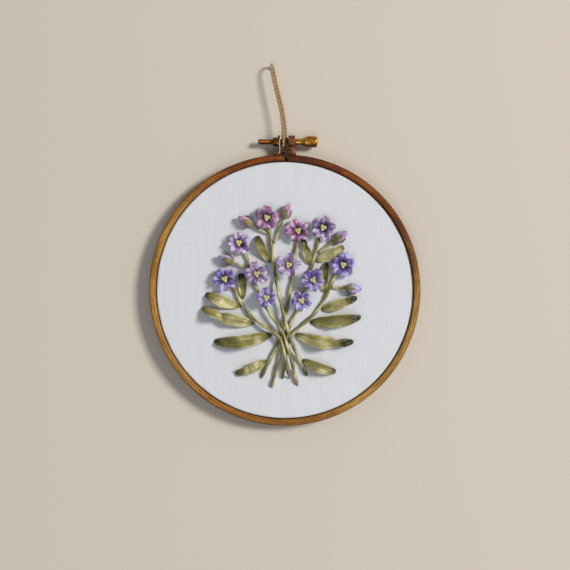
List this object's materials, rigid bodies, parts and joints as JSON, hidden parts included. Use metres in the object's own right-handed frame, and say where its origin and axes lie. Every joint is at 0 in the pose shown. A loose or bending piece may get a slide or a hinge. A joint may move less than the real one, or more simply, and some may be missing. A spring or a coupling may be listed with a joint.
{
  "type": "ribbon embroidery in a wooden hoop",
  "caption": "Round wooden embroidery hoop with a brass clamp screw and twine hanging loop, holding white cotton worked with a ribbon posy of blossoms, buds and leaves.",
  "frame": {"origin": "on the surface that the hoop lies on, under the middle of the box of the hoop and its clamp, the twine loop left out", "axes": "+Z out of the picture, +Y towards the picture's top and the clamp, +X to its right"},
  "size_m": [0.1354, 0.1817, 0.0137],
  "materials": {
    "hoop_wood": "stained, satin",
    "cotton_cloth": "plain fine weave",
    "brass_fittings": "worn satin",
    "dark_fittings": "darkened, dull",
    "jute_twine": "twisted, hairy",
    "olive_ribbon": "silk ribbon, soft sheen",
    "mauve_ribbon": "silk ribbon, soft sheen",
    "lilac_ribbon": "silk ribbon, soft sheen",
    "violet_ribbon": "silk ribbon, soft sheen"
  },
  "bodies": {
    "root": {"blossom_low_left": "violet_ribbon", "blossom_low_right": "violet_ribbon", "blossom_middle": "lilac_ribbon", "blossom_middle_left": "lilac_ribbon", "blossom_middle_right": "violet_ribbon", "blossom_side_left": "violet_ribbon", "blossom_side_right": "violet_ribbon", "blossom_top_left": "mauve_ribbon", "blossom_top_right": "mauve_ribbon", "blossom_upper_left": "lilac_ribbon", "blossom_upper_right": "lilac_ribbon", "bud_crest": "mauve_ribbon", "bud_left": "lilac_ribbon", "bud_right": "violet_ribbon", "bud_upper_left": "mauve_ribbon", "bud_upper_right": "lilac_ribbon", "clamp_screw": "brass_fittings", "cloth": "cotton_cloth", "hanging_loop": "jute_twine", "inner_hoop": "hoop_wood", "leaf_base_left": "olive_ribbon", "leaf_base_right": "olive_ribbon", "leaf_between_left": "olive_ribbon", "leaf_between_right": "olive_ribbon", "leaf_inner_left": "olive_ribbon", "leaf_inner_right": "olive_ribbon", "leaf_low_left": "olive_ribbon", "leaf_low_right": "olive_ribbon", "leaf_side_left": "olive_ribbon", "leaf_side_right": "olive_ribbon", "leaf_tail_left": "olive_ribbon", "leaf_tail_right": "olive_ribbon", "leaf_upper_right": "olive_ribbon", "loop_knot": "jute_twine", "lug_left": "brass_fittings", "lug_right": "dark_fittings", "outer_hoop": "hoop_wood", "stem_left_inner": "olive_ribbon", "stem_left_middle": "olive_ribbon", "stem_left_outer": "olive_ribbon", "stem_right_inner": "olive_ribbon", "stem_right_middle": "olive_ribbon", "stem_right_outer": "olive_ribbon"}
  },
  "joints": []
}
